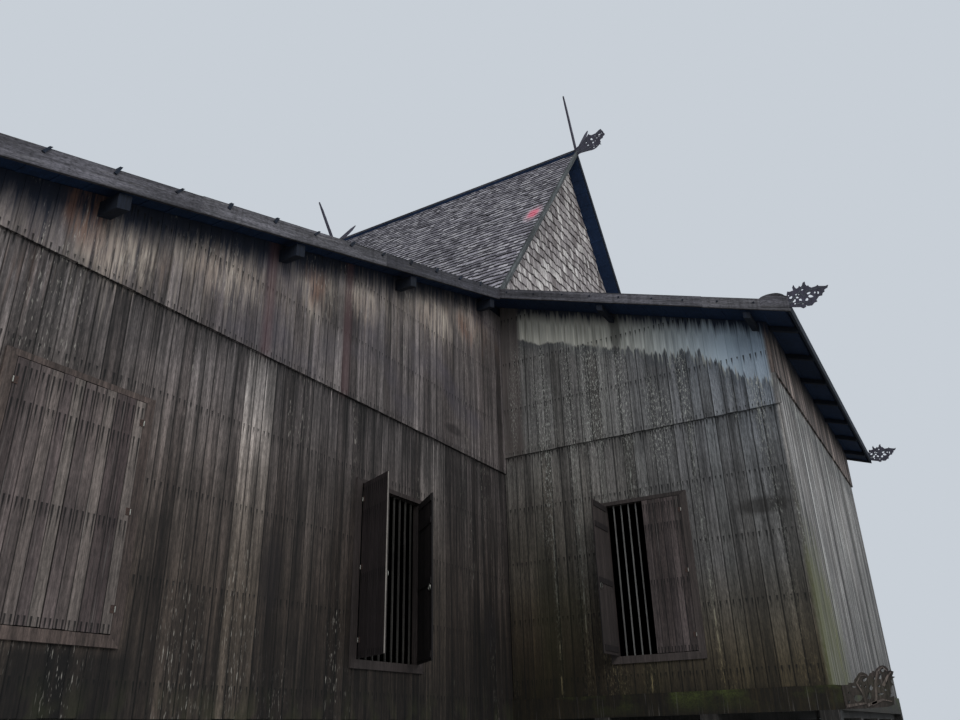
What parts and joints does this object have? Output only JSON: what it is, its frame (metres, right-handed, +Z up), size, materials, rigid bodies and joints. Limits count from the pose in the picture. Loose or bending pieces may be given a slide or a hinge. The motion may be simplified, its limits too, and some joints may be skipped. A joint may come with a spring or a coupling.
{
  "type": "banjar high-roof house",
  "caption": "Timber house on posts with a steep shingled gable roof over the middle, long low roofs to both ends, two lean-to side wings and shuttered windows.",
  "frame": {"origin": "on the ground, at the middle of the house, under the middle of the high roof's ridge", "axes": "+X along the long body towards its right end, +Y across it towards the far wing, +Z up"},
  "size_m": [25.06, 15.5, 13.9019],
  "materials": {
    "post_wood": "rough weathered ironwood",
    "floor_wood": "worn ironwood boards",
    "sill_wood": "weathered ironwood with moss",
    "body_board_wood": "weathered ironwood boards, grey brown",
    "wing_board_wood": "weathered ironwood boards, grey green",
    "gable_shingles": "bleached ironwood shingles",
    "roof_shingles": "dark grey ironwood shingles",
    "roof_timber": "dark unpainted timber",
    "edge_board_wood": "weathered edge boards and carving",
    "trim_wood": "brown weathered trim",
    "shutter_wood": "red brown weathered boards"
  },
  "bodies": {
    "root": {"main_post_row_1": "post_wood", "main_post_row_2": "post_wood", "main_post_row_3": "post_wood", "main_post_row_4": "post_wood", "wing_posts_near": "post_wood", "wing_posts_far": "post_wood", "floor": "floor_wood", "wing_sills_near": "sill_wood", "wing_sills_far": "sill_wood", "long_wall_near_left": "body_board_wood", "long_wall_near_right": "body_board_wood", "long_wall_far_left": "body_board_wood", "long_wall_far_right": "body_board_wood", "end_wall_left": "body_board_wood", "end_wall_right": "body_board_wood", "wing_side_wall_near_left": "wing_board_wood", "wing_side_wall_near_right": "wing_board_wood", "wing_side_wall_far_left": "wing_board_wood", "wing_side_wall_far_right": "wing_board_wood", "wing_end_wall_near": "wing_board_wood", "wing_end_wall_far": "wing_board_wood", "gable_near": "gable_shingles", "gable_far": "gable_shingles", "high_roof_left": "roof_shingles", "high_roof_right": "roof_shingles", "low_roof_left": "roof_shingles", "low_roof_right": "roof_shingles", "wing_roof_near": "roof_shingles", "wing_roof_far": "roof_shingles", "high_roof_frame": "roof_timber", "low_roof_frame_left": "roof_timber", "low_roof_frame_right": "roof_timber", "wing_roof_frame_near": "roof_timber", "wing_roof_frame_far": "roof_timber", "verge_boards_near": "edge_board_wood", "verge_boards_far": "edge_board_wood", "low_barge_boards_left": "edge_board_wood", "low_barge_boards_right": "edge_board_wood", "wing_barge_boards_near": "edge_board_wood", "wing_barge_boards_far": "edge_board_wood", "window_near_left_1_frame": "trim_wood", "window_near_left_1_left_shutter": "shutter_wood", "window_near_left_1_right_shutter": "shutter_wood", "window_near_left_2_frame": "trim_wood", "window_near_left_2_left_shutter": "shutter_wood", "window_near_left_2_right_shutter": "shutter_wood", "window_wing_near_left_frame": "trim_wood", "window_wing_near_left_left_shutter": "shutter_wood", "window_wing_near_left_right_shutter": "shutter_wood", "window_wing_near_right": "shutter_wood", "window_wing_far_left": "shutter_wood", "window_wing_far_right": "shutter_wood", "window_near_right_1": "shutter_wood", "window_near_right_2": "shutter_wood", "window_far_left_1": "shutter_wood", "window_far_left_2": "shutter_wood", "window_far_right_1": "shutter_wood", "window_far_right_2": "shutter_wood"}
  },
  "joints": []
}
